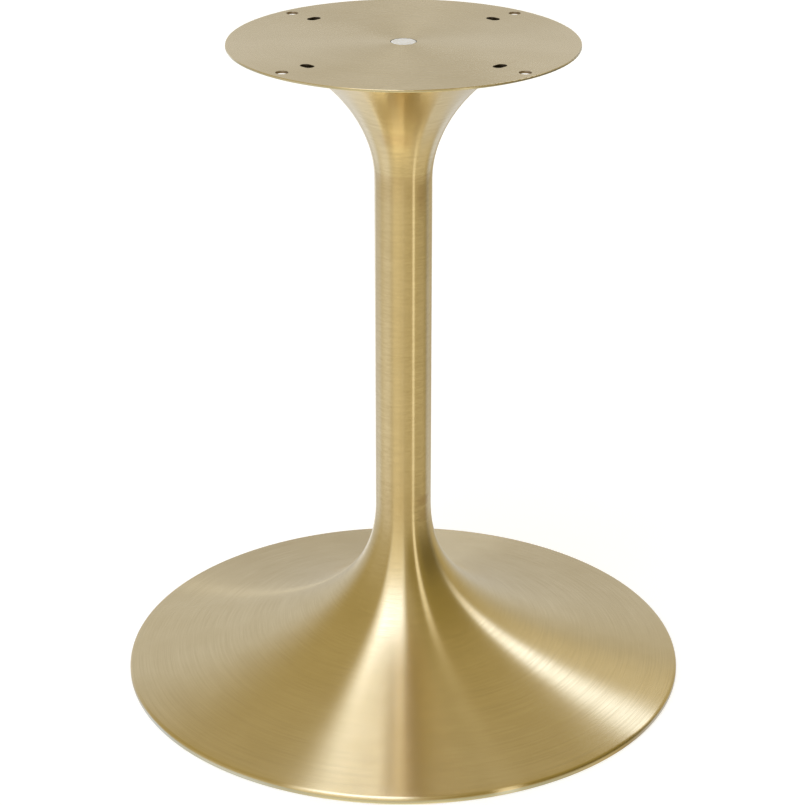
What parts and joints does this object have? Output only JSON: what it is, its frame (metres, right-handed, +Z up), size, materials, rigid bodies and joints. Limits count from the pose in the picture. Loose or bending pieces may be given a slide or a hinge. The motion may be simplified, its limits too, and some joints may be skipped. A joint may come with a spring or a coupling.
{
  "type": "table base",
  "caption": "Round trumpet table base in brushed brass: spun foot, tube column and flared head under a flat drilled plate for the table top.",
  "frame": {"origin": "centre of the foot's outline at floor level, on the column's axis", "axes": "+Z up the column's axis towards the table top; +X and +Y lie between the plate's screw holes"},
  "size_m": [0.6149, 0.615, 0.71],
  "materials": {
    "brushed_brass": "fine brushed round the axis, satin",
    "brushed_brass_plate": "fine brushed in rings, satin",
    "white_plastic": "moulded, matt",
    "plain_steel": "zinc plated",
    "painted_iron": "black paint over sand casting",
    "grey_rubber": "moulded, matt"
  },
  "bodies": {
    "root": {"base_trumpet": "brushed_brass", "column_tube": "brushed_brass", "top_flare": "brushed_brass", "top_plate": "brushed_brass_plate", "hole_cap": "white_plastic", "clamp_disc": "plain_steel", "upper_nut": "plain_steel", "upper_washer": "plain_steel", "lower_nut": "plain_steel", "lower_washer": "plain_steel", "tie_rod": "plain_steel", "cast_weight": "painted_iron", "glide_1": "grey_rubber", "glide_2": "grey_rubber", "glide_3": "grey_rubber", "glide_4": "grey_rubber", "glide_5": "grey_rubber", "glide_6": "grey_rubber"}
  },
  "joints": []
}
